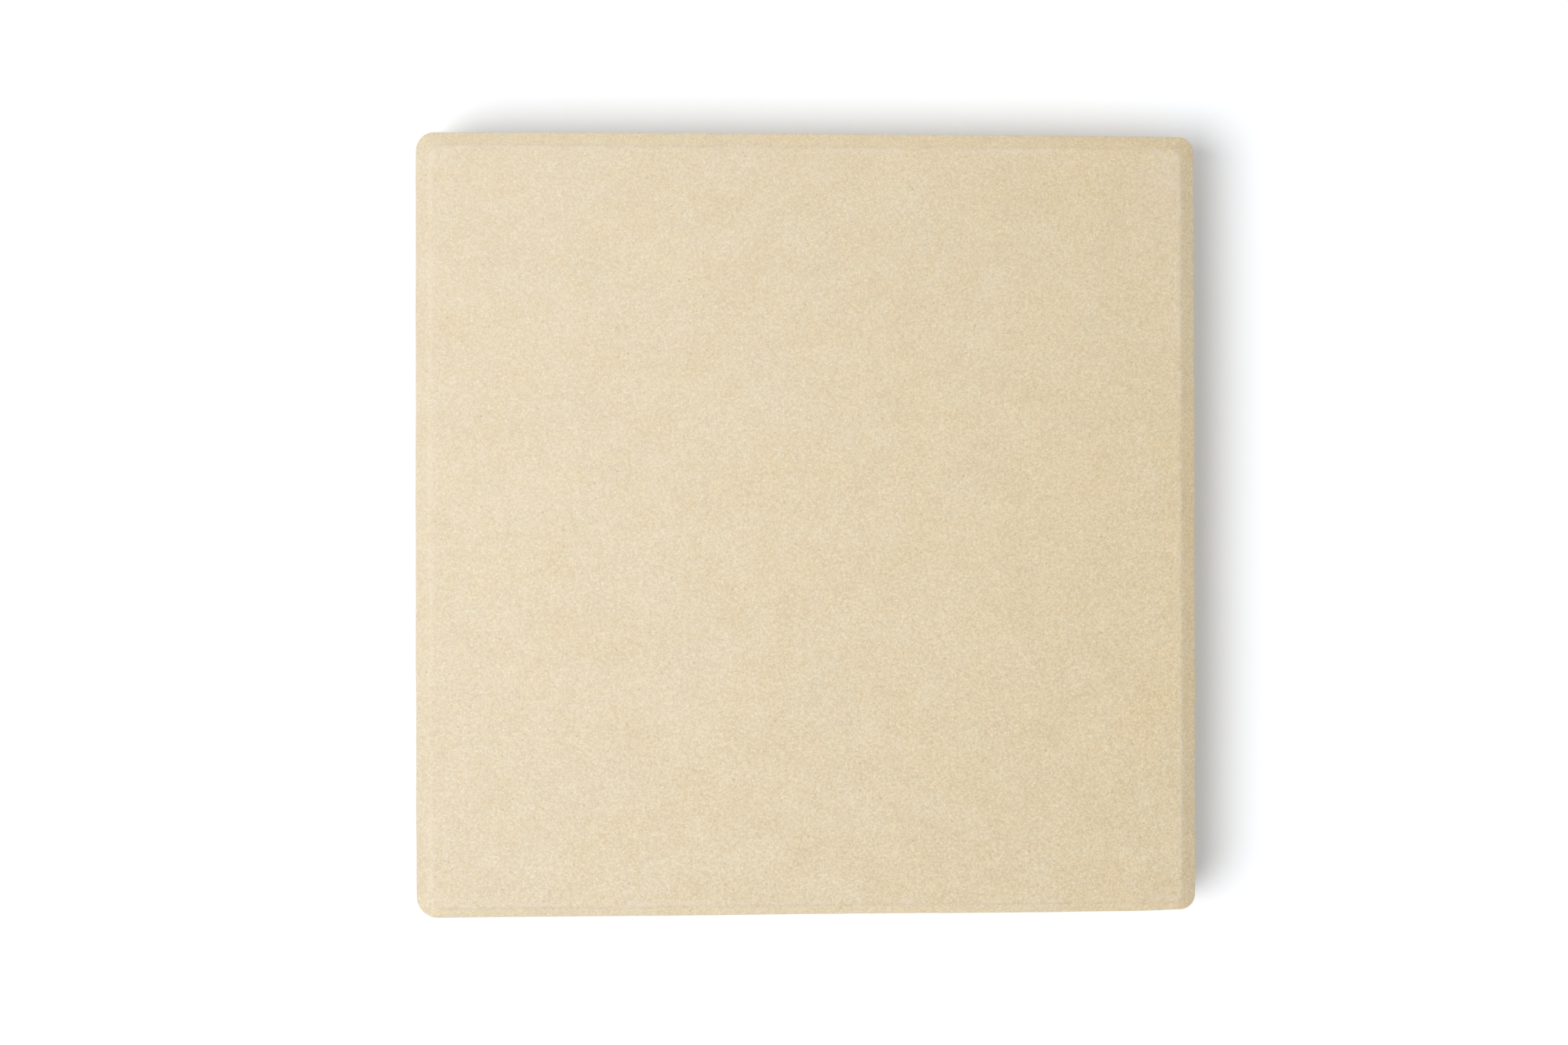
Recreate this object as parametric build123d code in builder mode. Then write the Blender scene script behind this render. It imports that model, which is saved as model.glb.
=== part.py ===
from build123d import *
import os

# A leather-tooling slab: one square block of fine-grained stone with a bevelled top edge,
# standing on four moulded rubber feet, each held on by a disc of double-sided foam tape.
# Millimetres. +Z is up, -Y is the front, and the origin is on the bench under the middle.

# Stone
SLAB_SIDE = 305.0
SLAB_THICKNESS = 30.0
CORNER_RADIUS = 7.0
BEVEL_WIDTH = 5.4
BEVEL_DEPTH = 4.5
RIDGE_RADIUS = 0.8
UNDER_EDGE = 1.5

# Rubber feet, widest where they are stuck on
FOOT_HEIGHT = 4.0
FOOT_BASE_RADIUS = 9.6
FOOT_DRAFT = 8.0
FOOT_EDGE_RADIUS = 0.8
FOOT_INSET = 32.0
GRIP_RING_RADII = (6.8, 3.6)
GRIP_GROOVE_WIDTH = 0.9
GRIP_GROOVE_DEPTH = 0.6

# Foam tape
TAPE_RADIUS = 9.0
TAPE_THICKNESS = 0.8

# Heights above the bench, and the reach of each foot from the middle
SLAB_BOTTOM = FOOT_HEIGHT + TAPE_THICKNESS
FOOT_REACH = SLAB_SIDE / 2 - FOOT_INSET

# Which way each foot lies from the middle, in X and Y
CORNERS = {
    "front_left": (-1, -1),
    "front_right": (1, -1),
    "back_left": (-1, 1),
    "back_right": (1, 1),
}

os.makedirs("parts", exist_ok=True)

# The slab: a rounded square with a bevel round the work face. The ridge where the work face
# meets the bevel is worn round, and the lower edge has a small cut arris.
with BuildPart() as stone_slab:
    with BuildSketch(Plane.XY.offset(SLAB_BOTTOM)):
        RectangleRounded(SLAB_SIDE, SLAB_SIDE, CORNER_RADIUS)
    extrude(amount=SLAB_THICKNESS)
    work_face = stone_slab.faces().sort_by(Axis.Z)[-1]
    chamfer(work_face.outer_wire().edges(), BEVEL_WIDTH, BEVEL_DEPTH, reference=work_face)
    work_face = stone_slab.faces().sort_by(Axis.Z)[-1]
    fillet(work_face.outer_wire().edges(), radius=RIDGE_RADIUS)
    underside = stone_slab.faces().sort_by(Axis.Z)[0]
    chamfer(underside.outer_wire().edges(), length=UNDER_EDGE)
stone_slab.part.label = "stone_slab"
export_step(stone_slab.part, "parts/stone_slab.step")

for corner, (side_x, side_y) in CORNERS.items():
    foot_plane = Plane(origin=(side_x * FOOT_REACH, side_y * FOOT_REACH, 0))

    # A foot: a low cone frustum with a rounded lower edge and grip grooves in its underside
    with BuildPart() as foot:
        with BuildSketch(foot_plane):
            Circle(FOOT_BASE_RADIUS)
        extrude(amount=FOOT_HEIGHT, taper=-FOOT_DRAFT)
        fillet(foot.edges().group_by(Axis.Z)[0], radius=FOOT_EDGE_RADIUS)
        with BuildSketch(foot_plane):
            for ring_radius in GRIP_RING_RADII:
                Circle(ring_radius + GRIP_GROOVE_WIDTH / 2)
                Circle(ring_radius - GRIP_GROOVE_WIDTH / 2, mode=Mode.SUBTRACT)
        extrude(amount=GRIP_GROOVE_DEPTH, mode=Mode.SUBTRACT)
    foot.part.label = "foot_" + corner
    export_step(foot.part, "parts/foot_" + corner + ".step")

    # The tape disc between the foot's flat top and the stone
    with BuildPart() as adhesive_disc:
        with BuildSketch(foot_plane.offset(FOOT_HEIGHT)):
            Circle(TAPE_RADIUS)
        extrude(amount=TAPE_THICKNESS)
    adhesive_disc.part.label = "adhesive_disc_" + corner
    export_step(adhesive_disc.part, "parts/adhesive_disc_" + corner + ".step")
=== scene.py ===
import itertools
import math

import bpy
import numpy as np
from mathutils import Matrix, Vector


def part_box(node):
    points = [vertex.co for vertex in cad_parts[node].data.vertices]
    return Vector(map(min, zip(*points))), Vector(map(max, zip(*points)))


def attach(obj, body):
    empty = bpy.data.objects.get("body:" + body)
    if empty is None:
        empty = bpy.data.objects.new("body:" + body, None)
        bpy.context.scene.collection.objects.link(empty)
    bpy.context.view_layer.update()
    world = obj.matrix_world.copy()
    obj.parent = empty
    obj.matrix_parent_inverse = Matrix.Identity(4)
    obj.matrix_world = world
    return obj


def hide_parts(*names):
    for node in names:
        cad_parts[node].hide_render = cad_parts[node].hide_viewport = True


# A leather-tooling slab of beige, sandy-grained stone on four stick-on rubber feet, seen from above.
# Everything is in metres, in the part's own frame: +Z up, -Y the front, the bench at z = 0.

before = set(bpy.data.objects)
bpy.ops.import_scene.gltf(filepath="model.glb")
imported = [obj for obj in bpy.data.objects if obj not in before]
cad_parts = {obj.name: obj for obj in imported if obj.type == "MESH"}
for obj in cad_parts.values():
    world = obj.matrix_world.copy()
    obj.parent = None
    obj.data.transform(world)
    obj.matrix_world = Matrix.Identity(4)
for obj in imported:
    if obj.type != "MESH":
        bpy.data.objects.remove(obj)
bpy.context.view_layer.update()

MM = 0.001


# Shared helpers ----------------------------------------------------------------------------------

# After how many steps along each axis the random values repeat
TILE = 64


def value_noise(points, size, seed):
    """Smooth random values from -1 to 1, one for each point, that change over about that size."""
    lattice = np.random.default_rng(seed).uniform(-1, 1, (TILE, TILE, TILE))
    place = np.asarray(points) / size
    low = np.floor(place).astype(int)
    part = place - low
    part = part * part * (3 - 2 * part)
    total = np.zeros(len(place))
    for step in itertools.product((0, 1), repeat=3):
        weight = np.prod(np.where(step, part, 1 - part), axis=1)
        total += weight * lattice[tuple(((low + step) % TILE).T)]
    return total


def unevenness(points, layers):
    """Bumps and hollows at each point: the sum of layers, each given as (height, width, seed)."""
    return sum(height * value_noise(points, width, seed) for height, width, seed in layers)


def smoothstep(low, high, value):
    """0 up to low and 1 from high on, with a smooth rise between them."""
    t = np.clip((value - low) / (high - low), 0, 1)
    return t * t * (3 - 2 * t)


def patches(points, size, seed, none, full):
    """0 to 1 in random patches of about that size: 0 where the random value is under none, and 1
    where it is over full."""
    return smoothstep(none, full, value_noise(points, size, seed))


def hump(distance, width):
    """1 at no distance, falling smoothly away to nothing over about twice the width."""
    return np.exp(-((distance / width) ** 2))


def mesh_object(name, points, faces, material):
    """A smooth-shaded object made of these points and faces, linked to the scene."""
    mesh = bpy.data.meshes.new(name)
    mesh.from_pydata(np.asarray(points).tolist(), [], faces)
    mesh.polygons.foreach_set("use_smooth", [True] * len(mesh.polygons))
    mesh.materials.append(material)
    mesh.update()
    made = bpy.data.objects.new(name, mesh)
    bpy.context.scene.collection.objects.link(made)
    return made


def normals_of(mesh):
    flat = np.empty(len(mesh.vertices) * 3, np.float32)
    mesh.vertex_normals.foreach_get("vector", flat)
    return flat.reshape(-1, 3).astype(float)


def move_points(mesh, points):
    mesh.vertices.foreach_set("co", np.asarray(points, np.float32).ravel())
    mesh.update()


def add_attribute(mesh, name, values):
    """Stores one number per point, for the material to read."""
    attribute = mesh.attributes.new(name, "FLOAT", "POINT")
    attribute.data.foreach_set("value", np.asarray(values, np.float32))


class Shader:
    """A material's node tree: each call adds a node and gives back one of its outputs."""

    def __init__(self, name):
        self.material = bpy.data.materials.new(name)
        self.material.use_nodes = True
        self.tree = self.material.node_tree
        self.tree.nodes.clear()
        self.surface = self.tree.nodes.new("ShaderNodeBsdfPrincipled")
        output = self.tree.nodes.new("ShaderNodeOutputMaterial")
        self.tree.links.new(self.surface.outputs["BSDF"], output.inputs["Surface"])
        self.place = self.node("TexCoord", {}, output="Object")

    def feed(self, socket, value):
        if isinstance(value, bpy.types.NodeSocket):
            self.tree.links.new(value, socket)
        else:
            socket.default_value = value

    def node(self, kind, inputs, output=0, **settings):
        made = self.tree.nodes.new("ShaderNode" + kind)
        for key, value in settings.items():
            setattr(made, key, value)
        for key, value in inputs.items():
            self.feed(made.inputs[key], value)
        return made.outputs[output]

    def math(self, operation, first, second=0.0, third=0.0):
        return self.node("Math", {0: first, 1: second, 2: third}, operation=operation)

    def total(self, *terms):
        """The sum of values, each given with its weight."""
        answer = 0.0
        for value, weight in terms:
            answer = self.math("MULTIPLY_ADD", value, weight, answer)
        return answer

    def remap(self, value, from_low, from_high, to_low=0.0, to_high=1.0):
        inputs = {"Value": value, "From Min": from_low, "From Max": from_high,
                  "To Min": to_low, "To Max": to_high}
        return self.node("MapRange", inputs, clamp=True)

    def axis(self, name):
        return self.node("SeparateXYZ", {"Vector": self.place}, output=name)

    def stretched(self, x, y, z):
        """The place in the object, scaled by that much along each axis."""
        inputs = {0: self.place, 1: (x, y, z)}
        return self.node("VectorMath", inputs, operation="MULTIPLY")

    def noise(self, size, detail=2.0, where=None, output=0):
        """Soft patches of about that size. Output 0 is a value about 0.5 and output 1 is a colour."""
        inputs = {"Vector": where or self.place, "Scale": 1 / size, "Detail": detail}
        return self.node("TexNoise", inputs, output)

    def cell_distance(self, size, where=None):
        """How far it is to the middle of the nearest cell of about that size, in cells."""
        return self.node("TexVoronoi", {"Vector": where or self.place, "Scale": 1 / size})

    def cell_value(self, size, where=None):
        """A random value from 0 to 1 that is the same all over each cell."""
        colour = self.node("TexVoronoi", {"Vector": where or self.place, "Scale": 1 / size}, output=1)
        return self.node("SeparateColor", {"Color": colour})

    def attribute(self, name):
        return self.node("Attribute", {}, output="Fac", attribute_name=name)

    def mix(self, share, first, second, blend="MIX"):
        """Two colours mixed by that share of the second. Its sockets have numbers, because a Mix node
        has others of the same names for the other kinds of value."""
        made = self.tree.nodes.new("ShaderNodeMix")
        made.data_type = "RGBA"
        made.blend_type = blend
        for place, value in ((0, share), (6, first), (7, second)):
            self.feed(made.inputs[place], value)
        return made.outputs[2]

    def tinted(self, colour, factors):
        return self.mix(1.0, colour, factors, "MULTIPLY")

    def bump(self, height, depth, under=None):
        """A normal for a height of 0 to 1, where 1 stands depth metres proud."""
        inputs = {"Height": height, "Distance": depth}
        if under is not None:
            inputs["Normal"] = under
        return self.node("Bump", inputs)

    def finish(self, **inputs):
        for key, value in inputs.items():
            self.feed(self.surface.inputs[key.replace("_", " ")], value)
        return self.material


def grey(value):
    return (value, value, value, 1)


# Stone slab: its shape ---------------------------------------------------------------------------

# Four sides and four corners, counterclockwise from the front and from the front left. Side k runs
# from corner k to corner k + 1. The hand-cut bevel is wider on some sides than on others, the
# corners are rounded unequally, and three of the sides bow out by a hair.
CORNER_SIGNS = ((-1, -1), (1, -1), (1, 1), (-1, 1))
BEVEL_WIDTHS = {"front": 4.2 * MM, "right": 6.1 * MM, "back": 5.8 * MM, "left": 5.4 * MM}
SIDE_BOWS = {"front": 0.0, "right": 0.3 * MM, "back": 0.3 * MM, "left": 0.25 * MM}
CORNER_RADII = {"front_left": 8.2 * MM, "front_right": 6.4 * MM, "back_right": 6.0 * MM,
                "back_left": 7.2 * MM}
RIDGE_RADII = {"front_left": 4.5 * MM, "front_right": 2.5 * MM, "back_right": 3.5 * MM,
               "back_left": 5.0 * MM}
BEVEL_DEPTH = 4.5 * MM
UNDER_EDGE = 1.5 * MM

# The rounded square inside which the work face and the underside are plain grids
INNER_INSET = 13.0 * MM
INNER_RADIUS = 3.0 * MM

# The guide rings that are worn edges, numbered outward and down from the inner ring of the work
# face: round the work face, below the bevel, and above and below the lower arris
RIDGE, RIM, ARRIS, BASE = 1, 2, 3, 4

# How finely the slab is divided: points along each half corner and each straight side, plain rows
# before each worn edge and rows round it, the rows of the work face and of the underside as shares
# of the way between two guide rings, and how far in each ring of half as many points lies
ARC_STEPS = 6
STRAIGHT_STEPS = 332
SIDE_STEPS = 2 * ARC_STEPS + STRAIGHT_STEPS
RING = 4 * SIDE_STEPS
ROWS_BEFORE = {RIDGE: 0, RIM: 4, ARRIS: 11, BASE: 1}
EDGE_ROWS = 4
FACE_ROWS = (0, 0.33, 0.56, 0.72)
UNDERSIDE_ROWS = (0.15, 0.5, 1)
HALVING_INSET = 0.013

# How far the wear reaches each way from each edge, and how it comes and goes along the edge
EDGE_WEAR = {RIDGE: 1.1 * MM, RIM: 0.8 * MM, ARRIS: 0.35 * MM, BASE: 0.35 * MM}
WEAR_LAYERS = ((0.35, 9 * MM, 4), (0.2, 3 * MM, 5))

# How the ridge and the rim waver, in layers of (height, width, seed)
RIDGE_LAYERS = ((0.20 * MM, 16 * MM, 2), (0.11 * MM, 5 * MM, 3))
RIM_LAYERS = ((0.08 * MM, 22 * MM, 1),)

# The front edge is worn back beside the right corner: how far from the right side, and how much
WORN_INSET = 7.5 * MM
WORN_DEPTH = 0.5 * MM
WORN_WIDTH = 6.5 * MM

# The relief of the honed work face, the rubbed bevel and the sawn sides and underside, how far one
# runs into the next, and where the underside turns from flat to rough round the middle of a foot
TOP_LAYERS = ((0.022 * MM, 24 * MM, 11), (0.010 * MM, 5 * MM, 12))
BEVEL_LAYERS = ((0.045 * MM, 11 * MM, 13), (0.025 * MM, 3 * MM, 14))
SAWN_LAYERS = ((0.055 * MM, 9 * MM, 15), (0.035 * MM, 2.6 * MM, 16))
RELIEF_BLEND = 0.3 * MM
FOOT_FLAT = (10 * MM, 14 * MM)

# Chips off each edge: how many, their smallest and largest radius, and how deep they may go as a
# share of it. They are scooped from outside at CHIP_SLOPE, from above on the upper edges and from
# below on the lower ones.
CHIPS = {
    RIDGE: (26, 0.5 * MM, 1.1 * MM, 0.14),
    RIM: (18, 0.6 * MM, 1.4 * MM, 0.20),
    ARRIS: (22, 0.9 * MM, 2.6 * MM, 0.45),
    BASE: (8, 1.0 * MM, 2.0 * MM, 0.3),
}
CHIP_SLOPE = 0.9
CHIP_SEED = 7

# The pale dust: how wide it lies along the ridge and the rim, how strong it is on the rim and in
# the corners of the work face, how far it reaches along X and along Y from near each corner, and
# the patches that it is broken into
RIDGE_DUST_INSET = 0.6 * MM
RIDGE_DUST_WIDTH = 1.0 * MM
RIM_DUST_WIDTH = 0.9 * MM
RIM_DUST = 0.12
CORNER_DUST = 1.1
CORNER_DUST_INSET = 2.0 * MM
CORNER_DUST_REACH = {"front_left": (10 * MM, 8 * MM), "front_right": (14 * MM, 4 * MM),
                     "back_right": (8 * MM, 20 * MM), "back_left": (8 * MM, 8 * MM)}
RIDGE_PATCHES = {"size": 8 * MM, "seed": 32, "none": -0.9, "full": 0.5}
CORNER_PATCHES = {"size": 3.5 * MM, "seed": 31, "none": -0.3, "full": 0.5}

low_corner, high_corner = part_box("stone_slab")
SLAB_HALF = (high_corner.x - low_corner.x) / 2
SLAB_TOP = high_corner.z
SLAB_BOTTOM = low_corner.z
RIM_HEIGHT = SLAB_TOP - BEVEL_DEPTH

# The regions of the slab's surface. TOP is the work face and its bevel.
TOP, SIDE, UNDERSIDE = 0, 1, 2


def direction(degrees):
    """The unit vector in X and Y at that angle from +X."""
    return np.array([math.cos(math.radians(degrees)), math.sin(math.radians(degrees))])


def inset_corners(insets):
    """The sharp corners of a square whose front, right, back and left lie that far inside the slab's."""
    front, right, back, left = insets
    wall_low = np.array([left - SLAB_HALF, front - SLAB_HALF])
    wall_high = np.array([SLAB_HALF - right, SLAB_HALF - back])
    return [np.where(np.array(sign) < 0, wall_low, wall_high) for sign in CORNER_SIGNS]


def outline(insets, radii):
    """A ring of points round a rounded square, and the way outward at each of them."""
    corners = inset_corners(insets)
    places = zip(corners, CORNER_SIGNS, radii)
    centres = [corner - np.array(sign) * radius for corner, sign, radius in places]
    points, outward = [], []
    for side in range(4):
        first, last = side, (side + 1) % 4
        facing = 90 * side - 90
        for step in range(ARC_STEPS):
            way = direction(facing - 45 + 45 * step / ARC_STEPS)
            points.append(centres[first] + radii[first] * way)
            outward.append(way)
        way = direction(facing)
        start = centres[first] + radii[first] * way
        stop = centres[last] + radii[last] * way
        for step in range(STRAIGHT_STEPS):
            points.append(start + (stop - start) * step / STRAIGHT_STEPS)
            outward.append(way)
        for step in range(ARC_STEPS):
            way = direction(facing + 45 * step / ARC_STEPS)
            points.append(centres[last] + radii[last] * way)
            outward.append(way)
    return np.array(points), np.array(outward)


def along(ring, layers):
    """The unevenness round an outline, as a column."""
    flat = np.column_stack([ring[:, :2], np.zeros(len(ring))])
    return unevenness(flat, layers)[:, None]


def guide_rings():
    """The slab's six guide rings, from the work face over the bevel and down to the underside."""
    corner_radii = np.array(list(CORNER_RADII.values()))
    ridge_radii = np.array(list(RIDGE_RADII.values()))
    same = np.ones(4)
    inner, _ = outline(INNER_INSET * same, INNER_RADIUS * same)
    ridge, ridge_way = outline(list(BEVEL_WIDTHS.values()), ridge_radii)
    rim, rim_way = outline(0 * same, corner_radii)
    under, under_way = outline(UNDER_EDGE * same, corner_radii - UNDER_EDGE)
    ridge = ridge + ridge_way * along(rim, RIDGE_LAYERS)
    share = (np.arange(RING) % SIDE_STEPS) / SIDE_STEPS
    bow = np.repeat(list(SIDE_BOWS.values()), SIDE_STEPS) * 4 * share * (1 - share)
    worn_place = np.array([SLAB_HALF - WORN_INSET, -SLAB_HALF])
    worn = WORN_DEPTH * hump(np.linalg.norm(rim - worn_place, axis=1), WORN_WIDTH)
    rim = rim + rim_way * ((bow - worn)[:, None] + along(rim, RIM_LAYERS))
    under = under + under_way * bow[:, None]
    heights = (SLAB_TOP, SLAB_TOP, RIM_HEIGHT, SLAB_BOTTOM + UNDER_EDGE, SLAB_BOTTOM, SLAB_BOTTOM)
    rings = (inner, ridge, rim, rim, under, inner)
    return [np.column_stack([ring, np.full(RING, height)]) for ring, height in zip(rings, heights)]


def toward(start, stop, distance):
    """Points that distance from each start, on the way to its stop."""
    gap = stop - start
    return start + gap / np.linalg.norm(gap, axis=1)[:, None] * distance


def slab_rows(guides):
    """Rows of points down the guide rings with every edge worn round, and each edge's last row."""
    uneven = 1 + along(guides[RIM], WEAR_LAYERS)
    leaving = guides[0]
    rows = [leaving + (guides[RIDGE] - leaving) * share for share in FACE_ROWS]
    edge_ends = {}
    for edge, wear in EDGE_WEAR.items():
        reach = wear * (uneven if edge in (RIDGE, RIM) else 1)
        arriving = toward(guides[edge], guides[edge - 1], reach)
        steps = ROWS_BEFORE[edge] + 1
        rows += [leaving + (arriving - leaving) * step / steps for step in range(1, steps)]
        departing = toward(guides[edge], guides[edge + 1], reach)
        for t in np.arange(EDGE_ROWS + 1) / EDGE_ROWS:
            rows.append((1 - t) ** 2 * arriving + 2 * t * (1 - t) * guides[edge] + t * t * departing)
        edge_ends[edge] = len(rows) - 1
        leaving = departing
    rows += [leaving + (guides[-1] - leaving) * share for share in UNDERSIDE_ROWS]
    return np.array(rows), edge_ends


def coons_patch(border):
    """A square grid of points that fills a ring of points."""
    steps = len(border) // 4
    closed = np.vstack([border, border[:1]])
    front = closed[:steps + 1][:, None]
    right = closed[steps:2 * steps + 1][None, :]
    back = closed[2 * steps:3 * steps + 1][::-1][:, None]
    left = closed[3 * steps:][::-1][None, :]
    share = np.arange(steps + 1) / steps
    u = share[:, None, None]
    v = share[None, :, None]
    corners = (1 - v) * ((1 - u) * front[0] + u * front[-1]) + v * ((1 - u) * back[0] + u * back[-1])
    return (1 - v) * front + v * back + (1 - u) * left + u * right - corners


def filled(ring, points, first_new):
    """Quads over a grid that fills a ring, and the new points inside it."""
    steps = len(ring) // 4
    closed = np.append(ring, ring[0])
    numbers = np.empty((steps + 1, steps + 1), int)
    numbers[1:-1, 1:-1] = first_new + np.arange((steps - 1) ** 2).reshape(steps - 1, steps - 1)
    numbers[:, 0] = closed[:steps + 1]
    numbers[-1, :] = closed[steps:2 * steps + 1]
    numbers[:, -1] = closed[2 * steps:3 * steps + 1][::-1]
    numbers[0, :] = closed[3 * steps:][::-1]
    quads = np.stack([numbers[:-1, :-1], numbers[1:, :-1], numbers[1:, 1:], numbers[:-1, 1:]], axis=-1)
    return quads.reshape(-1, 4), coons_patch(points)[1:-1, 1:-1].reshape(-1, 3)


def halving_faces(fine, coarse):
    """Triangles from a coarse ring outward to one with twice as many points."""
    first, middle, last = fine[::2], fine[1::2], np.roll(fine[::2], -1)
    after = np.roll(coarse, -1)
    triangles = [(coarse, first, middle), (coarse, middle, after), (after, middle, last)]
    return np.concatenate([np.column_stack(triangle) for triangle in triangles])


def stone_surface():
    """The slab's points and faces, each face's region, and the side that it belongs to."""
    rows, edge_ends = slab_rows(guide_rings())
    numbers = np.arange(rows.shape[0] * RING).reshape(-1, RING)
    after = np.roll(numbers, -1, axis=1)
    quads = np.stack([numbers[:-1], numbers[1:], after[1:], after[:-1]], axis=-1)
    band, step = np.indices(quads.shape[:2])
    region = np.select([band < edge_ends[RIM], band < edge_ends[BASE]], [TOP, SIDE], UNDERSIDE)
    groups = [(quads.reshape(-1, 4), region.ravel(), (step // SIDE_STEPS).ravel())]
    points = [rows.reshape(-1, 3)]
    count = numbers.size

    def add_faces(faces, region):
        facing_out = faces if region == TOP else faces[:, ::-1]
        groups.append((facing_out, np.full(len(faces), region), np.zeros(len(faces), int)))

    # Each end is closed by rings of half as many points each, and then by a square grid
    ends = ((numbers[0], rows[0], 1, TOP), (numbers[-1], rows[-1], 2, UNDERSIDE))
    for ring, row, halvings, region in ends:
        for halving in range(halvings):
            coarse = count + np.arange(len(ring) // 2)
            coarse_row = row[::2].copy()
            coarse_row[:, :2] *= 1 - HALVING_INSET * (halving + 1)
            add_faces(halving_faces(ring, coarse), region)
            points.append(coarse_row)
            count += len(coarse)
            ring, row = coarse, coarse_row
        quads, inside = filled(ring, row, count)
        add_faces(quads, region)
        points.append(inside)
        count += len(inside)
    faces = [face for group in groups for face in group[0].tolist()]
    regions, sides = (np.concatenate([group[k] for group in groups]) for k in (1, 2))
    return np.concatenate(points), faces, regions, sides


# The patches of the unit square: the space between them, how much of it the work face has, and the
# room for the bow of the slab's sides
CHART_GAP = 0.006
TOP_SHARE = 0.67
BOW_ROOM = 1.0 * MM


def lay_out_finish(mesh, regions, sides):
    """Gives the work face, the underside and each side its own patch of a unit square."""
    corner_point = np.empty(len(mesh.loops), np.int32)
    mesh.loops.foreach_get("vertex_index", corner_point)
    corners = np.empty(len(mesh.polygons), np.int32)
    mesh.polygons.foreach_get("loop_total", corners)
    region = np.repeat(regions, corners)
    side = np.repeat(sides, corners)
    flat = np.empty(len(mesh.vertices) * 3, np.float32)
    mesh.vertices.foreach_get("co", flat)
    across = flat.reshape(-1, 3)[corner_point, :2] / (2 * SLAB_HALF + BOW_ROOM) + 0.5
    row, step = np.divmod(corner_point, RING)
    under_share = 1 - TOP_SHARE - 3 * CHART_GAP
    under_left = TOP_SHARE + 2 * CHART_GAP
    strip = (1 - TOP_SHARE - 6 * CHART_GAP) / 4
    strip_low = CHART_GAP + side * (strip + CHART_GAP)
    rows = row[region == SIDE]
    down = (row - rows.min()) / (rows.max() - rows.min())
    round_side = ((step - side * SIDE_STEPS) % RING) / SIDE_STEPS
    u_across, v_across = across[:, 0], across[:, 1]
    charts = {
        TOP: (CHART_GAP + u_across * TOP_SHARE, 1 - CHART_GAP - (1 - v_across) * TOP_SHARE),
        UNDERSIDE: (under_left + u_across * under_share, 1 - CHART_GAP - (1 - v_across) * under_share),
        SIDE: (CHART_GAP + round_side * (1 - 2 * CHART_GAP), strip_low + (1 - down) * strip),
    }
    place = np.empty((len(corner_point), 2))
    for name, (u, v) in charts.items():
        chosen = region == name
        place[chosen] = np.column_stack([u, v])[chosen]
    layer = mesh.uv_layers.new(name="OFBake")
    layer.data.foreach_set("uv", place.astype(np.float32).ravel())


def surface_relief(points, feet):
    """How far each point stands proud of a true face: least on top, and nothing round the feet."""
    height = points[:, 2]
    top = smoothstep(SLAB_TOP - RELIEF_BLEND, SLAB_TOP, height)
    bevel = smoothstep(RIM_HEIGHT - RELIEF_BLEND, RIM_HEIGHT + RELIEF_BLEND, height) * (1 - top)
    sawn = 1 - top - bevel
    relief = top * unevenness(points, TOP_LAYERS)
    relief += bevel * unevenness(points, BEVEL_LAYERS)
    relief += sawn * unevenness(points, SAWN_LAYERS)
    below = height < SLAB_BOTTOM + UNDER_EDGE / 2
    for foot in feet:
        distance = np.linalg.norm(points[:, :2] - foot, axis=1)
        relief *= np.where(below, smoothstep(*FOOT_FLAT, distance), 1)
    return relief


def chip_edges(points, rng):
    """Tiny bruises along the upper edges and larger flakes off the lower ones, cut as round scoops."""
    rings = guide_rings()
    for edge, (number, smallest, largest, depth) in CHIPS.items():
        slope = CHIP_SLOPE if edge in (RIDGE, RIM) else -CHIP_SLOPE
        for spot in rng.integers(0, RING, number):
            place = rings[edge][spot]
            radius = rng.uniform(smallest, largest)
            out = np.append(place[:2] / np.linalg.norm(place[:2]), slope)
            out /= np.linalg.norm(out)
            centre = place + out * radius * (1 - depth * rng.uniform(0.4, 1))
            gap = points - centre
            distance = np.linalg.norm(gap, axis=1)
            inside = distance < radius
            points[inside] = centre + gap[inside] / distance[inside][:, None] * radius
    return points


def edge_dust(points):
    """Where pale dust gathers: along the ridge, inside the four corners and faintly on the rim."""
    rings = guide_rings()
    step = np.arange(len(points)) % RING
    dusty = toward(rings[RIDGE], rings[0], RIDGE_DUST_INSET)[step]
    dust = hump(np.linalg.norm(points - dusty, axis=1), RIDGE_DUST_WIDTH)
    dust *= patches(points, **RIDGE_PATCHES)
    dust += RIM_DUST * hump(np.linalg.norm(points - rings[RIM][step], axis=1), RIM_DUST_WIDTH)
    flat = smoothstep(SLAB_TOP - 0.4 * MM, SLAB_TOP - 0.1 * MM, points[:, 2])
    in_corners = CORNER_DUST * flat * patches(points, **CORNER_PATCHES)
    corners = inset_corners(BEVEL_WIDTHS.values())
    for corner, sign, reach in zip(corners, CORNER_SIGNS, CORNER_DUST_REACH.values()):
        middle = corner - np.array(sign) * CORNER_DUST_INSET
        share = (points[:, :2] - middle) / np.array(reach)
        dust += in_corners * hump(np.linalg.norm(share, axis=1), 1)
    return np.clip(dust, 0, 1) * (points[:, 2] > RIM_HEIGHT - 2 * MM)


def make_slab(feet):
    """The block of stone, with its underside left flat where the feet are stuck on."""
    points, faces, regions, sides = stone_surface()
    slab = mesh_object("slab", points, faces, stone_material())
    add_attribute(slab.data, "wear", edge_dust(points))
    points = points + normals_of(slab.data) * surface_relief(points, feet)[:, None]
    move_points(slab.data, chip_edges(points, np.random.default_rng(CHIP_SEED)))
    lay_out_finish(slab.data, regions, sides)
    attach(slab, "root")
    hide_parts("stone_slab")


# Stone slab: its finish --------------------------------------------------------------------------

STONE = (0.745, 0.632, 0.445)

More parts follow.
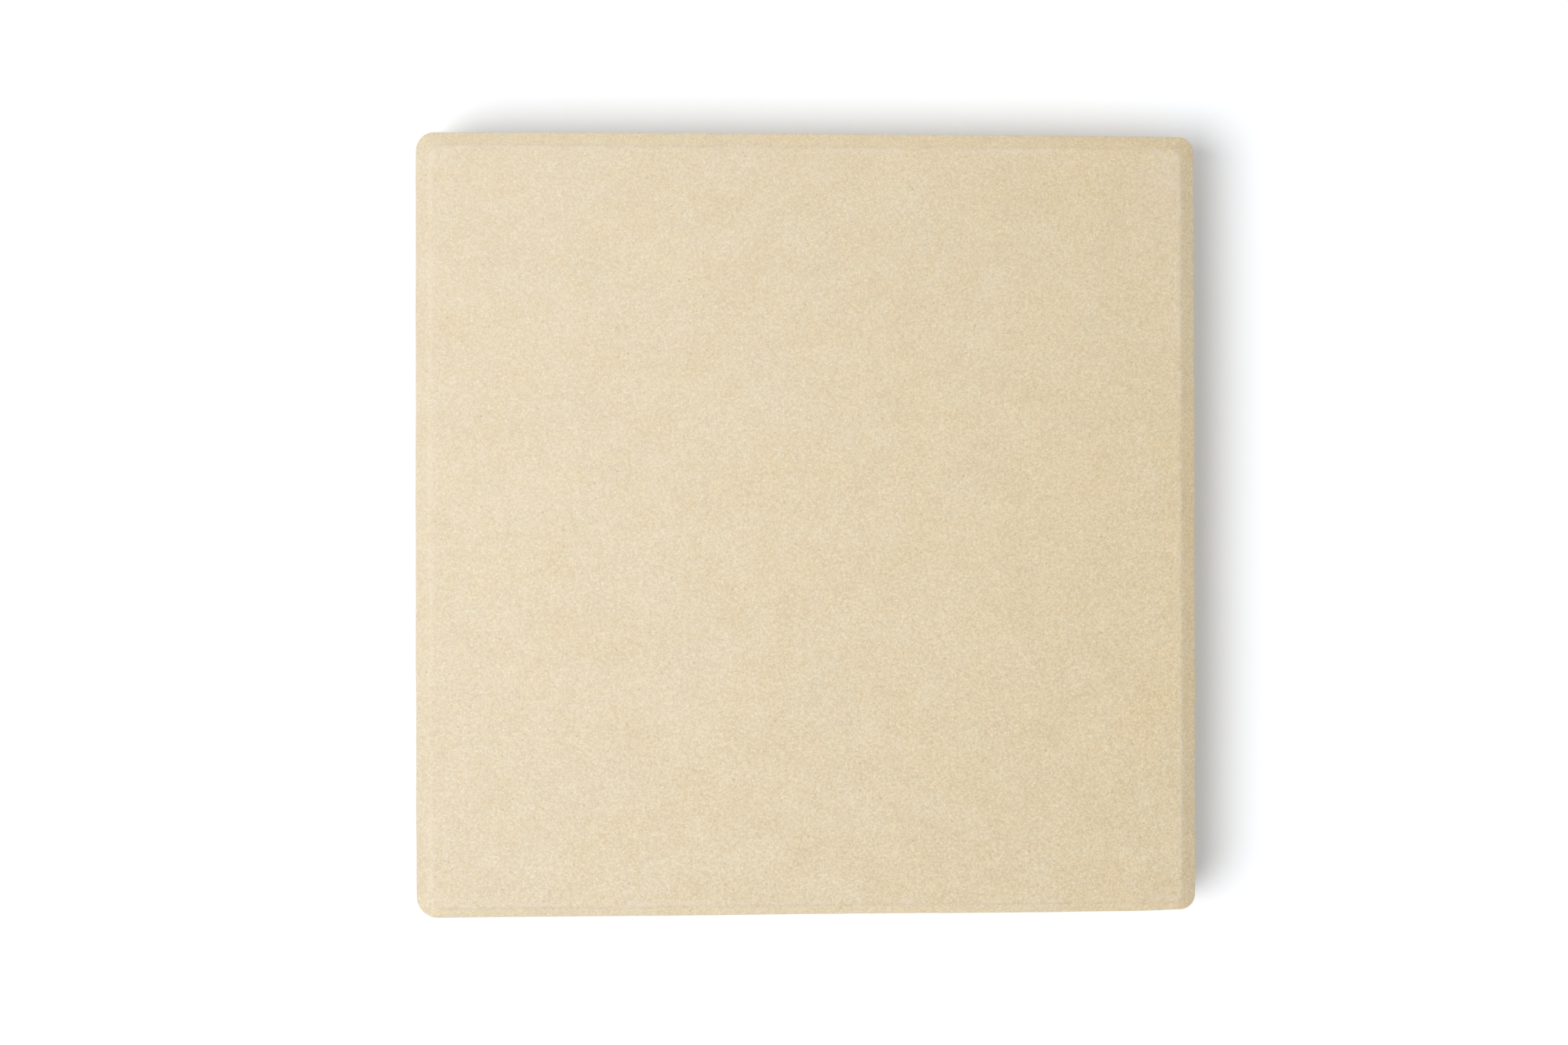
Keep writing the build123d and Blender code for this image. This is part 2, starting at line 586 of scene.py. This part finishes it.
# Tints of the stone, as factors of its red, green and blue
DARK_GRAINS = (0.80, 0.785, 0.735)
PALE_GRAINS = (1.20, 1.215, 1.265)
PALE_FLECKS = (1.24, 1.32, 1.58)
DARK_SPECKS = (0.66, 0.62, 0.52)
PALE_DUST = (1.06, 1.10, 1.27)

# How large the grains are, how far they are pulled out of shape, how far they stand proud, and how
# much their contrast grows for each metre along X and along Y
GRAIN = 0.68 * MM
GRAIN_WARP = 0.6 * MM
GRAIN_DEPTH = 0.035 * MM
CONTRAST_SLOPES = (0.72, -0.65)

# Sparse spots: how far apart their places are, how far a spot's core and its edge are from its
# middle in spacings, which of the places' random values have no spot and which a full one, and
# its strength and tint
SPOTS = (
    (1.1 * MM, (0.16, 0.36), (0.78, 0.90), 0.65, PALE_FLECKS),
    (4.1 * MM, (0.07, 0.14), (0.55, 0.62), 0.5, DARK_SPECKS),
)

# The patches of hue: how large they are, in layers of (size, weight)
HUE_LAYERS = ((30 * MM, 0.30), (6 * MM, 0.27), (2.1 * MM, 0.42))

# What the stone's colour is multiplied by: the two extremes of its patches of hue and of fainter
# blush, the slab's left and right, and the warm patches near its right side
HUES = ((1.015, 0.947, 0.81, 1), (0.985, 1.053, 1.19, 1))
BLUSHES = ((1.0, 0.988, 0.99, 1), (1.0, 1.012, 1.01, 1))
LEFT_TO_RIGHT = ((1.0, 1.012, 1.052, 1), (1.0, 0.988, 0.948, 1))
WARM_PATCH = (1.02, 0.985, 0.93, 1)

# Painted light and shade on the bevel: how much paler or darker than the work face each side's
# bevel is painted at its left and at its right, where along X the one gives way to the other, and
# how far each side's tone runs round its corners
BEVEL_SIDE_SHADING = {
    "front": ((1.14, 1.132, 1.105, 1), (1.11, 1.113, 1.125, 1)),
    "right": ((1.01, 1.0, 0.97, 1), (1.01, 1.0, 0.97, 1)),
    "back": ((1.075, 1.06, 1.02, 1), (1.02, 1.005, 0.985, 1)),
    "left": ((0.985, 0.985, 0.985, 1), (0.985, 0.985, 0.985, 1)),
}
BEVEL_SHADING_SPAN = (30 * MM, 140 * MM)
BEVEL_SHADING_BLEND = 8 * MM

# Where the sawn finish turns into the bevel's, up from the rim, and that into the work face's, up
# from the top
SAWN_END = (-0.6 * MM, 0.3 * MM)
BEVEL_END = (-1.2 * MM, -0.3 * MM)

# The saw's strokes: their height, that as a share of their length, their depth and their tint
STROKE_HEIGHT = 2.4 * MM
STROKE_SLENDERNESS = 0.06
STROKE_DEPTH = 0.10 * MM
STROKE_TINT = (0.93, 0.92, 0.89, 1)


def tint(factors):
    """The stone's colour, made darker or paler by a factor for each channel."""
    red, green, blue = (channel * factor for channel, factor in zip(STONE, factors))
    return (red, green, blue, 1)


def sand(s):
    """Sand grains: a random value for each grain, 1 in the gaps between grains, and fine grit."""
    warp = s.noise(1.3 * MM, 1.0, output=1)
    warped = s.node("VectorMath", {0: warp, 1: (GRAIN_WARP,) * 3, 2: s.place}, operation="MULTIPLY_ADD")
    grain = s.cell_value(GRAIN, warped)
    gap = s.remap(s.cell_distance(GRAIN, warped), 0.25, 0.75)
    return grain, gap, s.noise(0.5 * MM, 1.0)


def sand_colour(s, grain, gap, fine):
    """Dark and pale grains in soft clumps, which differ most towards the front right."""
    clumps = s.noise(1.3 * MM, 1.0)
    mottling = s.noise(15 * MM, 3.0)
    tone = s.total((grain, 0.36), (gap, -0.18), (fine, 0.42), (clumps, 0.36), (mottling, 0.22),
                   (1.0, -0.106))
    x_slope, y_slope = CONTRAST_SLOPES
    contrast = s.total((s.axis("X"), x_slope), (s.axis("Y"), y_slope), (1.0, 1.0))
    tone = s.math("MULTIPLY_ADD", s.math("SUBTRACT", tone, 0.5), contrast, 0.5)
    return s.mix(s.remap(tone, 0.0, 1.0), tint(DARK_GRAINS), tint(PALE_GRAINS))


def with_spots(s, colour):
    """Pale flecks and sparser dark specks."""
    for spacing, (core, edge), (none, full), strength, factors in SPOTS:
        spot = s.math("MULTIPLY", s.remap(s.cell_distance(spacing), core, edge, 1.0, 0.0),
                      s.remap(s.cell_value(spacing), none, full))
        colour = s.mix(s.math("MULTIPLY", spot, strength), colour, tint(factors))
    return colour


def with_hues(s, colour):
    """Soft patches of hue, a drift from left to right, and warm patches near the right side."""
    hue = s.total(*((s.noise(size), weight) for size, weight in HUE_LAYERS))
    colour = s.tinted(colour, s.mix(s.remap(hue, 0.0, 1.0), *HUES))
    colour = s.tinted(colour, s.mix(s.remap(s.noise(9 * MM), 0.2, 0.8), *BLUSHES))
    colour = s.tinted(colour, s.mix(s.remap(s.axis("X"), -150 * MM, 150 * MM), *LEFT_TO_RIGHT))
    patch = s.remap(s.noise(46 * MM, 3.0), 0.50, 0.66)
    warm = s.math("MULTIPLY", patch, s.remap(s.axis("X"), 50 * MM, 120 * MM))
    return s.mix(s.math("MULTIPLY", warm, 0.8), colour, s.tinted(colour, WARM_PATCH))


def with_painted_bevel_shading(s, colour, bevel):
    """The bevel painted paler or darker on each side of the slab, as painted light and shade."""
    x, y = s.axis("X"), s.axis("Y")
    x_size, y_size = s.math("ABSOLUTE", x), s.math("ABSOLUTE", y)
    rightward = s.remap(x, *BEVEL_SHADING_SPAN)
    for side, axis, sign, across in (("front", y, -1, x_size), ("right", x, 1, y_size),
                                     ("back", y, 1, x_size), ("left", x, -1, y_size)):
        nearness = s.total((axis, sign), (across, -1.0))
        on_side = s.remap(nearness, -BEVEL_SHADING_BLEND, BEVEL_SHADING_BLEND)
        # painted light and shade: this side's bevel is made paler or darker than the work face
        shaded_bevel = s.tinted(colour, s.mix(rightward, *BEVEL_SIDE_SHADING[side]))
        colour = s.mix(s.math("MULTIPLY", bevel, on_side), colour, shaded_bevel)
    return colour


def stone_material():
    """Fine sandy-grained beige stone, honed on top and sawn at the sides, with pale dust on its wear."""
    s = Shader("stone")
    grain, gap, fine = sand(s)
    colour = with_hues(s, with_spots(s, sand_colour(s, grain, gap, fine)))
    dust = s.math("MULTIPLY", s.attribute("wear"), s.remap(s.noise(5 * MM, 3.0), 0.38, 0.60, 0.15, 1.0))
    colour = s.mix(s.math("MULTIPLY", dust, 0.55), colour, tint(PALE_DUST))

    height = s.axis("Z")
    sawn = s.remap(height, *(RIM_HEIGHT + end for end in SAWN_END), 1.0, 0.0)
    not_sawn = s.math("SUBTRACT", 1.0, sawn)
    bevel = s.remap(height, *(SLAB_TOP + end for end in BEVEL_END), not_sawn, 0.0)
    # painted light and shade on the bevel, paler on some sides and darker on others
    colour = with_painted_bevel_shading(s, colour, bevel)
    strokes = s.noise(STROKE_HEIGHT, 3.0, s.stretched(STROKE_SLENDERNESS, STROKE_SLENDERNESS, 1.0))
    stroke = s.math("MULTIPLY", sawn, s.remap(strokes, 0.35, 0.65, 0.0, 0.5))
    colour = s.mix(stroke, colour, s.tinted(colour, STROKE_TINT))

    roughness = s.total((grain, 0.10), (fine, 0.08), (dust, 0.10), (sawn, 0.05), (1.0, 0.66))
    relief = s.total((gap, -0.8), (grain, 0.5), (fine, 0.5), (1.0, 0.3))
    coarse = s.bump(s.math("MULTIPLY", strokes, sawn), STROKE_DEPTH)
    normal = s.bump(relief, GRAIN_DEPTH, coarse)
    return s.finish(Base_Color=colour, Roughness=roughness, Normal=normal, Specular_IOR_Level=0.35)


# Rubber feet and their adhesive discs ------------------------------------------------------------

CORNER_NAMES = ("front_left", "front_right", "back_left", "back_right")
TURN_STEPS = 128

# The foot. A small hollow in the middle of its tread is the mark of the mould's gate, and every
# other sharp edge is a lip of small radius.
FOOT_EDGE_RADIUS = 0.8 * MM
FOOT_DRAFT_DEGREES = 8
GRIP_RING_RADII = (3.6 * MM, 6.8 * MM)
GRIP_GROOVE_WIDTH = 0.9 * MM
GRIP_GROOVE_DEPTH = 0.6 * MM
GATE_RADIUS = 0.9 * MM
GATE_DEPTH = 0.25 * MM
LIP = 0.12 * MM
LIP_STEPS = 4
WALL_STEPS = 8

# Profile points as shares: across the gate mark, across each flat stretch of the tread, up the
# wall between its two rounded edges, and back to the middle of the glued face
GATE_SHARES = (0, 0.4, 0.8)
TREAD_SHARES = (0.2, 0.5, 0.8)
WALL_SHARES = np.linspace(0.3, 0.9, WALL_STEPS)
GLUED_SHARES = (0.93, 0.8, 0.5, 0.2, 0)

# The moulded skin's unevenness, and how much of it, inward only, the flat faces have
RUBBER_LAYERS = ((0.018 * MM, 3 * MM, 41), (0.010 * MM, 0.9 * MM, 42))
FLAT_SKIN = 0.3

# The foam disc, whose edge is set in a little and bulges out again where it is squeezed
FOAM_INSET = 0.1 * MM
FOAM_BULGE = 0.22 * MM
FOAM_STEPS = 9
FOAM_SHARES = (0, 0.3, 0.6, 0.85, 0.96)
FOAM_LAYERS = ((0.05 * MM, 0.7 * MM, 51), (0.05 * MM, 2.4 * MM, 52))

# How near to the top or the bottom of a piece a point counts as lying in that flat face
FLAT_GAP = 0.01 * MM


def node_circle(name):
    """The middle, lowest and highest points and the largest radius of a round CAD node."""
    low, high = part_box(name)
    middle = np.array([(low.x + high.x) / 2, (low.y + high.y) / 2])
    return middle, low.z, high.z, (high.x - low.x) / 2


def turned(name, profile, middle, material, relief):
    """A solid turned from a profile of (radius, height) points that starts and ends on its axis.
    relief says how far each point is moved along its normal."""
    angles = np.arange(TURN_STEPS) * 2 * math.pi / TURN_STEPS
    circle = np.column_stack([np.cos(angles), np.sin(angles)])
    level = np.ones(TURN_STEPS)
    rows = [np.column_stack([middle + circle * radius, level * z]) for radius, z in profile[1:-1]]
    ends = [(*middle, profile[0][1]), (*middle, profile[-1][1])]
    points = np.vstack([*rows, ends])
    numbers = np.arange(len(rows) * TURN_STEPS).reshape(-1, TURN_STEPS)
    after = np.roll(numbers, -1, axis=1)
    quads = np.stack([numbers[:-1], after[:-1], after[1:], numbers[1:]], axis=-1).reshape(-1, 4).tolist()
    first, last = numbers.size, numbers.size + 1
    caps = [(first, b, a) for a, b in zip(numbers[0].tolist(), after[0].tolist())]
    caps += [(last, a, b) for a, b in zip(numbers[-1].tolist(), after[-1].tolist())]
    made = mesh_object(name, points, quads + caps, material)
    move_points(made.data, points + normals_of(made.data) * relief(points)[:, None])
    return made


def arc(radius, height, bend, start, stop, steps):
    """Profile points round an arc of radius bend, in degrees from straight outward."""
    turn = np.radians(np.linspace(start, stop, steps))
    return [(radius + bend * math.cos(a), height + bend * math.sin(a)) for a in turn]


def between(inner, outer, height):
    """Profile points on a level stretch."""
    return [(inner + (outer - inner) * share, height) for share in TREAD_SHARES]


def foot_profile(low, high, top_radius):
    """From the middle of the tread, over its grip grooves and up the drafted wall to the glued face."""
    profile = [(GATE_RADIUS * share, low + GATE_DEPTH) for share in GATE_SHARES]
    profile += arc(GATE_RADIUS + LIP, low + LIP, LIP, 180, 270, LIP_STEPS)
    reach = GATE_RADIUS + 2 * LIP
    floor = low + GRIP_GROOVE_DEPTH - LIP
    for ring in GRIP_RING_RADII:
        inner = ring - GRIP_GROOVE_WIDTH / 2
        outer = ring + GRIP_GROOVE_WIDTH / 2
        profile += between(reach, inner - LIP, low)
        profile += arc(inner - LIP, low + LIP, LIP, -90, 0, LIP_STEPS)
        profile += arc(inner + LIP, floor, LIP, 180, 90, LIP_STEPS)
        profile += arc(outer - LIP, floor, LIP, 90, 0, LIP_STEPS)
        profile += arc(outer + LIP, low + LIP, LIP, 180, 270, LIP_STEPS)
        reach = outer + LIP
    height = high - low
    lean = height * math.tan(math.radians(FOOT_DRAFT_DEGREES))
    edge = top_radius - lean - FOOT_EDGE_RADIUS
    profile += between(reach, edge, low)
    wall_way = -FOOT_DRAFT_DEGREES
    profile += arc(edge, low + FOOT_EDGE_RADIUS, FOOT_EDGE_RADIUS, -90, wall_way, WALL_STEPS)
    profile += [(top_radius - lean * (1 - share), low + height * share) for share in WALL_SHARES]
    profile += arc(top_radius - LIP, high - LIP, LIP, wall_way, 90, LIP_STEPS + 1)
    return profile + [(top_radius * share, high) for share in GLUED_SHARES]


def foam_profile(low, high, radius):
    """From the middle of the underside, round the swollen edge and back to the middle on top."""
    profile = [(radius * share, low) for share in FOAM_SHARES]
    for height in np.linspace(-1, 1, FOAM_STEPS):
        swell = FOAM_BULGE * math.sqrt(1 - height ** 2)
        profile.append((radius - FOAM_INSET + swell, (low + high) / 2 + (high - low) / 2 * height))
    return profile + [(radius * share, high) for share in reversed(FOAM_SHARES)]


RUBBER_TONES = (grey(0.022), grey(0.036))
BENCH_DUST = (0.17, 0.16, 0.145, 1)
SCUFF = (0.13, 0.125, 0.115, 1)
LINT = (0.33, 0.31, 0.28, 1)
FOAM_PORES = (0.60, 0.59, 0.555, 1)
FOAM = (0.76, 0.755, 0.725, 1)
GRIME = (0.46, 0.43, 0.37, 1)


def rubber_material():
    """Black moulded rubber with bench dust on it and scuffs where it touches the bench."""
    s = Shader("rubber")
    mottling = s.noise(3.5 * MM, 4.0)
    fine = s.noise(0.35 * MM, 2.0)
    dust = s.remap(s.total((mottling, 0.7), (fine, 0.45)), 0.52, 0.80)
    tread = s.remap(s.axis("Z"), 0.02 * MM, 0.25 * MM, 1.0, 0.0)
    lint = s.remap(s.noise(0.25 * MM, 1.0, s.stretched(0.35, 1.0, 1.0)), 0.66, 0.74)
    colour = s.mix(s.remap(mottling, 0.3, 0.7), *RUBBER_TONES)
    colour = s.mix(s.math("MULTIPLY", dust, 0.35), colour, BENCH_DUST)
    scuffed = s.math("MULTIPLY", tread, s.remap(fine, 0.3, 0.7, 0.15, 0.5))
    colour = s.mix(scuffed, colour, SCUFF)
    colour = s.mix(s.math("MULTIPLY", lint, 0.4), colour, LINT)
    roughness = s.total((dust, 0.25), (fine, 0.12), (tread, 0.12), (1.0, 0.50))
    normal = s.bump(s.total((fine, 0.7), (mottling, 0.5)), 0.03 * MM)
    return s.finish(Base_Color=colour, Roughness=roughness, Normal=normal, Specular_IOR_Level=0.45)


def foam_material():
    """Off-white closed-cell foam tape with patches of grime."""
    s = Shader("foam_tape")
    pores = s.remap(s.cell_distance(0.28 * MM), 0.15, 0.55)
    mottling = s.noise(2.5 * MM, 3.0)
    grime = s.remap(mottling, 0.45, 0.68)
    colour = s.mix(pores, FOAM_PORES, FOAM)
    colour = s.mix(s.math("MULTIPLY", grime, 0.4), colour, GRIME)
    roughness = s.total((pores, -0.08), (mottling, 0.1), (1.0, 0.85))
    normal = s.bump(pores, 0.06 * MM)
    return s.finish(Base_Color=colour, Roughness=roughness, Normal=normal, Specular_IOR_Level=0.3)


def make_foot(corner, material):
    """A rubber foot with a moulded, slightly uneven skin. Gives back the foot's middle."""
    node = "foot_" + corner
    middle, low, high, top_radius = node_circle(node)

    def relief(points):
        wobble = unevenness(points, RUBBER_LAYERS)
        flat = (points[:, 2] < low + FLAT_GAP) | (points[:, 2] > high - FLAT_GAP)
        return np.where(flat, -FLAT_SKIN * np.abs(wobble), wobble)

    foot = turned("rubber_foot_" + corner, foot_profile(low, high, top_radius), middle, material, relief)
    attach(foot, "root")
    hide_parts(node)
    return middle


def make_adhesive(corner, material):
    """A foam disc with a roughly cut edge."""
    node = "adhesive_disc_" + corner
    middle, low, high, radius = node_circle(node)

    def relief(points):
        rim = (points[:, 2] > low + FLAT_GAP) & (points[:, 2] < high - FLAT_GAP)
        return np.where(rim, unevenness(points, FOAM_LAYERS), 0)

    disc = turned("foam_" + corner, foam_profile(low, high, radius), middle, material, relief)
    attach(disc, "root")
    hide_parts(node)


# Camera, floor and lights ------------------------------------------------------------------------

# The camera stands almost over the slab, a little to its left.
LENS = 72.0
SENSOR_WIDTH = 36.0
CAMERA_PLACE = Vector((-0.0885, -0.0063, 1.2535))
CAMERA_AIM = Vector((-0.0076, 0.0008, 0.0))
CAMERA_ROLL = math.radians(-0.1)

# The floor lies a hair under the feet, so that the two surfaces don't coincide.
FLOOR_COLOUR = (0.887, 0.905, 0.930, 1)
FLOOR_REACH = 4.0
FLOOR_GAP = 0.02 * MM

# Soft light from all round, a far-off lamp on the left that casts the shadow on the floor, and one
# overhead for the slab: each lamp's place, width and strength
AMBIENT = 0.60
SIDE_LAMP = ((-14.6, -5.85, 21.5), 18.6, 0.67)
OVERHEAD_LAMP = ((-0.42, -0.02, 0.92), 0.5, 0.45)


def make_camera():
    """The camera, turned towards its aim with +Y upward in the picture, and rolled a little."""
    data = bpy.data.cameras.new("camera")
    data.lens = LENS
    data.sensor_width = SENSOR_WIDTH
    camera = bpy.data.objects.new("camera", data)
    bpy.context.scene.collection.objects.link(camera)
    back = (CAMERA_PLACE - CAMERA_AIM).normalized()
    right = Vector((0, 1, 0)).cross(back).normalized()
    level = Matrix((right, back.cross(right), back)).transposed()
    turn = level @ Matrix.Rotation(CAMERA_ROLL, 3, "Z")
    camera.matrix_world = Matrix.Translation(CAMERA_PLACE) @ turn.to_4x4()
    bpy.context.scene.camera = camera


def make_floor():
    """A large, plain, nearly white sheet."""
    s = Shader("floor")
    tone = s.remap(s.noise(0.4, 3.0), 0.3, 0.7, 0.985, 1.0)
    colour = s.node("CombineColor", {"Red": tone, "Green": tone, "Blue": tone})
    colour = s.tinted(colour, FLOOR_COLOUR)
    material = s.finish(Base_Color=colour, Roughness=0.9, Specular_IOR_Level=0.1)
    corners = [(x * FLOOR_REACH, y * FLOOR_REACH, -FLOOR_GAP) for x, y in CORNER_SIGNS]
    floor = mesh_object("floor", corners, [(0, 1, 2, 3)], material)
    return floor


def make_lamp(name, place, width, strength, lit):
    """A soft round lamp aimed at the slab that lights only those objects. strength is the light it
    gives a level surface under it, where 1 makes a white one white."""
    data = bpy.data.lights.new(name, "AREA")
    data.shape = "DISK"
    data.size = width
    place = Vector(place)
    data.energy = strength * math.pi ** 2 * place.length_squared / place.normalized().z
    lamp = bpy.data.objects.new(name, data)
    lamp.location = place
    lamp.rotation_euler = place.to_track_quat("Z", "Y").to_euler()
    lamp.visible_camera = False
    bpy.context.scene.collection.objects.link(lamp)
    group = bpy.data.collections.new(name + "_lights")
    for piece in lit:
        group.objects.link(piece)
    lamp.light_linking.receiver_collection = group


def make_world():
    """White light from all round, dimmer than the plain white that shows past the floor's edge."""
    world = bpy.data.worlds.new("studio")
    world.use_nodes = True
    tree = world.node_tree
    background = tree.nodes["Background"]
    background.inputs["Color"].default_value = grey(1)
    strength = tree.nodes.new("ShaderNodeMapRange")
    strength.inputs["To Min"].default_value = AMBIENT
    path = tree.nodes.new("ShaderNodeLightPath")
    tree.links.new(path.outputs["Is Camera Ray"], strength.inputs["Value"])
    tree.links.new(strength.outputs["Result"], background.inputs["Strength"])
    bpy.context.scene.world = world


def make_light(floor):
    make_world()
    pieces = [made for made in bpy.data.objects if made.type == "MESH" and made != floor]
    make_lamp("side", *SIDE_LAMP, [floor])
    make_lamp("overhead", *OVERHEAD_LAMP, pieces)


# Build -------------------------------------------------------------------------------------------

bpy.context.scene.view_settings.view_transform = "Standard"

rubber = rubber_material()
foam = foam_material()
feet = [make_foot(corner, rubber) for corner in CORNER_NAMES]
for corner in CORNER_NAMES:
    make_adhesive(corner, foam)
make_slab(feet)
make_camera()
make_light(make_floor())
